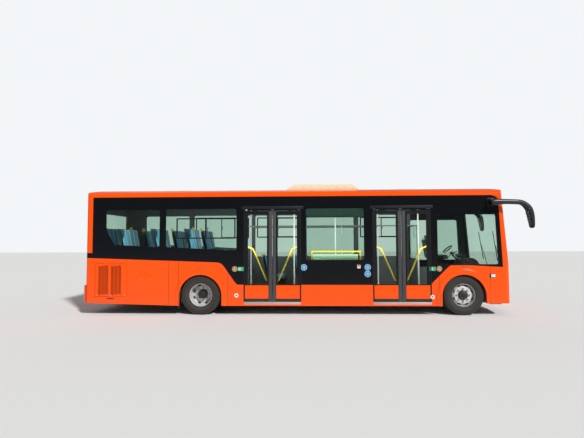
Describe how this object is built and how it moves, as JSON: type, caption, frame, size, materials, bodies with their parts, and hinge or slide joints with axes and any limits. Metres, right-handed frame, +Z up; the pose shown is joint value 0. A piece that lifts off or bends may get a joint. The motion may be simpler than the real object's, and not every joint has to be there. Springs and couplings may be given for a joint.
{
  "type": "two-door midi city bus",
  "caption": "Low-floor midi city bus with two inward-gliding double doors, steered front wheels, twin rear wheels and a hollow furnished cabin.",
  "frame": {"origin": "on the ground in the middle of the whole outline, mirrors included", "axes": "+X forward, +Y to the driver's left, +Z up; the doors are on the -Y side"},
  "size_m": [9.885, 2.91, 3],
  "materials": {
    "paint_orange": "gloss",
    "paint_black": "gloss",
    "glass_tinted": "gloss",
    "glass_clear": "gloss",
    "rubber_black": "matte",
    "tyre_black": "matte",
    "rim_silver": "satin",
    "steel_dark": "matte",
    "floor_grey": "matte",
    "seat_blue": "matte",
    "rail_yellow": "gloss",
    "plastic_grey": "matte",
    "plastic_black": "satin",
    "roof_cream": "satin",
    "lamp_lens": "gloss",
    "pad_green": "matte",
    "aluminium": "satin",
    "engine_grey": "matte"
  },
  "bodies": {
    "root": {"side_wall_right": "paint_orange", "side_wall_left": "paint_orange", "roof": "paint_orange", "front_mask": "paint_orange", "rear_mask": "paint_orange", "side_glass_right": "glass_tinted", "side_glass_left": "glass_tinted", "windscreen": "glass_clear", "rear_window": "glass_tinted", "destination_sign": "plastic_black", "lamps": "lamp_lens", "roof_fittings": "roof_cream", "floor": "floor_grey", "rear_platform": "floor_grey", "front_wheel_boxes": "floor_grey", "rear_wheel_boxes": "steel_dark", "overhead_rails": "rail_yellow", "window_rail": "rail_yellow", "chassis_frame": "steel_dark", "engine_block": "engine_grey", "radiator": "aluminium", "fuel_tank": "steel_dark", "front_axle": "steel_dark", "rear_axle": "steel_dark", "mudflaps": "rubber_black", "door_headers_and_sills": "aluminium", "passenger_seats": "seat_blue", "driver_seat": "plastic_grey", "dashboard": "plastic_grey", "cab_partition": "plastic_grey", "grab_poles": "rail_yellow", "side_pad": "pad_green", "mirrors": "plastic_black", "wipers": "plastic_black", "towing_eyes": "steel_dark"},
    "grille_flap": {"grille_flap": "paint_orange"},
    "engine_lid": {"engine_lid": "paint_orange"},
    "steering_left": {"knuckle_left": "steel_dark"},
    "wheel_front_left": {"wheel_front_left": "rim_silver", "tyre_front_left": "tyre_black"},
    "wheel_rear_left": {"wheel_rear_left": "rim_silver", "tyres_rear_left": "tyre_black"},
    "steering_right": {"knuckle_right": "steel_dark"},
    "wheel_front_right": {"wheel_front_right": "rim_silver", "tyre_front_right": "tyre_black"},
    "wheel_rear_right": {"wheel_rear_right": "rim_silver", "tyres_rear_right": "tyre_black"},
    "rear_door_rear_pillar": {"rear_door_rear_pillar": "plastic_grey"},
    "rear_door_rear_leaf": {"rear_door_rear_leaf": "paint_black", "rear_door_rear_glass": "glass_tinted"},
    "rear_door_front_pillar": {"rear_door_front_pillar": "plastic_grey"},
    "rear_door_front_leaf": {"rear_door_front_leaf": "paint_black", "rear_door_front_glass": "glass_tinted"},
    "front_door_rear_pillar": {"front_door_rear_pillar": "plastic_grey"},
    "front_door_rear_leaf": {"front_door_rear_leaf": "paint_black", "front_door_rear_glass": "glass_tinted"},
    "front_door_front_pillar": {"front_door_front_pillar": "plastic_grey"},
    "front_door_front_leaf": {"front_door_front_leaf": "paint_black", "front_door_front_glass": "glass_tinted"}
  },
  "joints": [
    {"name": "steer_left", "type": "hinge", "parent": "root", "child": "steering_left", "pos_m": [3.4575, 0.97, 0.4335], "axis": [0, 0, 1], "range_deg": [-45, 45]},
    {"name": "spin_front_left", "type": "hinge", "parent": "steering_left", "child": "wheel_front_left", "pos_m": [3.4575, 1.09, 0.4335], "axis": [0, 1, 0], "continuous": true},
    {"name": "spin_rear_left", "type": "hinge", "parent": "root", "child": "wheel_rear_left", "pos_m": [-2.3125, 1.09, 0.4335], "axis": [0, 1, 0], "continuous": true},
    {"name": "steer_right", "type": "hinge", "parent": "root", "child": "steering_right", "pos_m": [3.4575, -0.97, 0.4335], "axis": [0, 0, 1], "range_deg": [-45, 45]},
    {"name": "spin_front_right", "type": "hinge", "parent": "steering_right", "child": "wheel_front_right", "pos_m": [3.4575, -1.09, 0.4335], "axis": [0, 1, 0], "continuous": true},
    {"name": "spin_rear_right", "type": "hinge", "parent": "root", "child": "wheel_rear_right", "pos_m": [-2.3125, -1.09, 0.4335], "axis": [0, 1, 0], "continuous": true},
    {"name": "rear_door_rear_swing", "type": "hinge", "parent": "root", "child": "rear_door_rear_pillar", "pos_m": [-1.3605, -1.178, 0.3], "axis": [0, 0, 1], "range_deg": [0, 80]},
    {"name": "rear_door_rear_turn", "type": "hinge", "parent": "rear_door_rear_pillar", "child": "rear_door_rear_leaf", "pos_m": [-1.0645, -1.178, 0.3], "axis": [0, 0, 1], "range_deg": [-160, 0]},
    {"name": "rear_door_front_swing", "type": "hinge", "parent": "root", "child": "rear_door_front_pillar", "pos_m": [-0.0665, -1.178, 0.3], "axis": [0, 0, -1], "range_deg": [0, 80]},
    {"name": "rear_door_front_turn", "type": "hinge", "parent": "rear_door_front_pillar", "child": "rear_door_front_leaf", "pos_m": [-0.3625, -1.178, 0.3], "axis": [0, 0, -1], "range_deg": [-160, 0]},
    {"name": "front_door_rear_swing", "type": "hinge", "parent": "root", "child": "front_door_rear_pillar", "pos_m": [1.4785, -1.178, 0.3], "axis": [0, 0, 1], "range_deg": [0, 80]},
    {"name": "front_door_rear_turn", "type": "hinge", "parent": "front_door_rear_pillar", "child": "front_door_rear_leaf", "pos_m": [1.7745, -1.178, 0.3], "axis": [0, 0, 1], "range_deg": [-160, 0]},
    {"name": "front_door_front_swing", "type": "hinge", "parent": "root", "child": "front_door_front_pillar", "pos_m": [2.7725, -1.178, 0.3], "axis": [0, 0, -1], "range_deg": [0, 80]},
    {"name": "front_door_front_turn", "type": "hinge", "parent": "front_door_front_pillar", "child": "front_door_front_leaf", "pos_m": [2.4765, -1.178, 0.3], "axis": [0, 0, -1], "range_deg": [-160, 0]},
    {"name": "grille_flap_hinge", "type": "hinge", "parent": "root", "child": "grille_flap", "pos_m": [-4.3185, -1.25, 1.144], "axis": [-1, 0, 0], "range_deg": [0, 80]},
    {"name": "engine_lid_hinge", "type": "hinge", "parent": "root", "child": "engine_lid", "pos_m": [-4.8975, 0, 1.324], "axis": [0, 1, 0], "range_deg": [0, 75]}
  ],
  "couplings": [
    {"joint": "steer_right", "follows": "steer_left", "ratio": 1},
    {"joint": "rear_door_rear_turn", "follows": "rear_door_rear_swing", "ratio": -2},
    {"joint": "rear_door_front_turn", "follows": "rear_door_front_swing", "ratio": -2},
    {"joint": "front_door_rear_turn", "follows": "front_door_rear_swing", "ratio": -2},
    {"joint": "front_door_front_turn", "follows": "front_door_front_swing", "ratio": -2}
  ]
}
